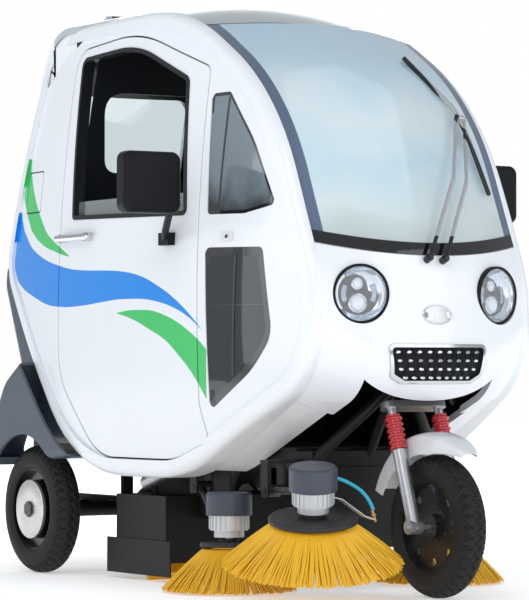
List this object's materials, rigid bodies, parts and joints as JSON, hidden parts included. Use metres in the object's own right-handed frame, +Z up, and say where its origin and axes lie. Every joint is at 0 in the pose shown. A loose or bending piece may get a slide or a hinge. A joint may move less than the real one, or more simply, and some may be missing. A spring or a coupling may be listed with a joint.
{
  "type": "compact road sweeper",
  "caption": "Small three-wheeled electric road sweeper with an enclosed one-seat cab, three side brushes and a main roller brush.",
  "frame": {"origin": "middle of the vehicle's length and width on the ground", "axes": "+Z up, -Y towards the front, +X towards the vehicle's left side"},
  "size_m": [1.656, 2.66, 2.128],
  "materials": {
    "body_white": "gloss",
    "roof_grey": "satin",
    "fender_grey": "satin",
    "dark_plastic": "matt",
    "cap_blue_grey": "satin",
    "frame_black": "satin",
    "chrome": "polished",
    "silver": "satin",
    "spring_red": "gloss",
    "bristle_yellow": "matt",
    "tyre_black": "matt",
    "rubber_black": "matt",
    "rim_black": "gloss",
    "seat_black": "matt",
    "lamp_red": "gloss",
    "glass_tint": "gloss",
    "battery_grey": "satin"
  },
  "bodies": {
    "chassis": {"chassis_frame": "frame_black", "cab_floor": "dark_plastic", "battery_box": "battery_grey", "seat": "seat_black", "dashboard": "dark_plastic", "side_shell_left": "body_white", "side_shell_right": "body_white", "fixed_glass": "glass_tint", "roof_panel": "roof_grey", "windshield": "glass_tint", "nose_fascia": "body_white", "nose_skirts": "body_white", "grille_frame": "chrome", "grille_mesh": "dark_plastic", "headlamps": "dark_plastic", "wiper": "dark_plastic", "rear_body": "fender_grey", "tail_lamps": "lamp_red", "rear_bumper": "dark_plastic", "rear_fenders": "fender_grey", "door_seals": "rubber_black", "charge_socket": "dark_plastic", "rear_axle": "frame_black", "leaf_springs": "frame_black", "roller_housing": "frame_black", "rubber_skirts": "rubber_black", "suction_tube": "silver"},
    "fork_unit": {"fork": "silver", "fork_springs": "spring_red", "front_mudguard": "body_white"},
    "front_wheel": {"front_tyre": "tyre_black", "front_rim": "rim_black"},
    "steering_wheel_unit": {"steering_wheel": "dark_plastic"},
    "hatch_unit": {"rear_hatch": "body_white", "rear_window": "glass_tint"},
    "flap_unit": {"charge_flap": "body_white"},
    "main_roller_unit": {"main_roller": "bristle_yellow"},
    "door_unit_left": {"door_left": "body_white", "door_rubber_left": "rubber_black", "door_glass_left": "glass_tint", "door_handle_left": "body_white", "mirror_left": "dark_plastic"},
    "rear_wheel_left": {"rear_tyre_left": "tyre_black", "rear_rim_left": "rim_black"},
    "door_unit_right": {"door_right": "body_white", "door_rubber_right": "rubber_black", "door_glass_right": "glass_tint", "door_handle_right": "body_white", "mirror_right": "dark_plastic"},
    "rear_wheel_right": {"rear_tyre_right": "tyre_black", "rear_rim_right": "rim_black"},
    "brush_unit_front": {"brush_arm_front": "cap_blue_grey"},
    "brush_rotor_front": {"brush_disc_front": "dark_plastic", "brush_tines_front": "bristle_yellow"},
    "brush_unit_right": {"brush_arm_right": "cap_blue_grey"},
    "brush_rotor_right": {"brush_disc_right": "dark_plastic", "brush_tines_right": "bristle_yellow"},
    "brush_unit_left": {"brush_arm_left": "cap_blue_grey"},
    "brush_rotor_left": {"brush_disc_left": "dark_plastic", "brush_tines_left": "bristle_yellow"}
  },
  "joints": [
    {"name": "fork_steer", "type": "hinge", "parent": "chassis", "child": "fork_unit", "pos_m": [0, -0.92284, 0.66737], "axis": [0, 0.3256, 0.9455], "range_deg": [-30, 30]},
    {"name": "front_wheel_spin", "type": "hinge", "parent": "fork_unit", "child": "front_wheel", "pos_m": [0, -1.09, 0.24], "axis": [1, 0, 0], "continuous": true},
    {"name": "steering_wheel_turn", "type": "hinge", "parent": "chassis", "child": "steering_wheel_unit", "pos_m": [0, -0.545, 1.195], "axis": [0, 0.5736, 0.8192], "range_deg": [-120, 120]},
    {"name": "hatch_lift", "type": "hinge", "parent": "chassis", "child": "hatch_unit", "pos_m": [0, 0.872, 2.12], "axis": [1, 0, 0], "range_deg": [0, 75]},
    {"name": "flap_swing", "type": "hinge", "parent": "chassis", "child": "flap_unit", "pos_m": [-0.4844, 0.845, 1.44], "axis": [0, 0, 1], "range_deg": [0, 100]},
    {"name": "main_roller_spin", "type": "hinge", "parent": "chassis", "child": "main_roller_unit", "pos_m": [0, 0.2, 0.13], "axis": [1, 0, 0], "continuous": true},
    {"name": "door_swing_left", "type": "hinge", "parent": "chassis", "child": "door_unit_left", "pos_m": [0.562, -0.454, 1.2], "axis": [0, 0, -1], "range_deg": [0, 70]},
    {"name": "rear_wheel_spin_left", "type": "hinge", "parent": "chassis", "child": "rear_wheel_left", "pos_m": [0.49, 0.81, 0.24], "axis": [1, 0, 0], "continuous": true},
    {"name": "door_swing_right", "type": "hinge", "parent": "chassis", "child": "door_unit_right", "pos_m": [-0.562, -0.454, 1.2], "axis": [0, 0, 1], "range_deg": [0, 70]},
    {"name": "rear_wheel_spin_right", "type": "hinge", "parent": "chassis", "child": "rear_wheel_right", "pos_m": [-0.49, 0.81, 0.24], "axis": [1, 0, 0], "continuous": true},
    {"name": "brush_lift_front", "type": "hinge", "parent": "chassis", "child": "brush_unit_front", "pos_m": [-0.372, -0.645, 0.352], "axis": [-1, 0, 0], "range_deg": [-4, 10]},
    {"name": "brush_spin_front", "type": "hinge", "parent": "brush_unit_front", "child": "brush_rotor_front", "pos_m": [-0.457, -1.028, 0.122], "axis": [-0.1096, -0.1767, 0.9781], "continuous": true},
    {"name": "brush_lift_right", "type": "hinge", "parent": "chassis", "child": "brush_unit_right", "pos_m": [-0.372, -0.17, 0.352], "axis": [-1, 0, 0], "range_deg": [0, 7]},
    {"name": "brush_spin_right", "type": "hinge", "parent": "brush_unit_right", "child": "brush_rotor_right", "pos_m": [-0.44, -0.468, 0.003], "axis": [0, 0, 1], "continuous": true},
    {"name": "brush_lift_left", "type": "hinge", "parent": "chassis", "child": "brush_unit_left", "pos_m": [0.372, -0.17, 0.352], "axis": [-1, 0, 0], "range_deg": [0, 7]},
    {"name": "brush_spin_left", "type": "hinge", "parent": "brush_unit_left", "child": "brush_rotor_left", "pos_m": [0.44, -0.468, 0.003], "axis": [0, 0, 1], "continuous": true}
  ],
  "couplings": [
    {"joint": "steering_wheel_turn", "follows": "fork_steer", "ratio": 4}
  ]
}
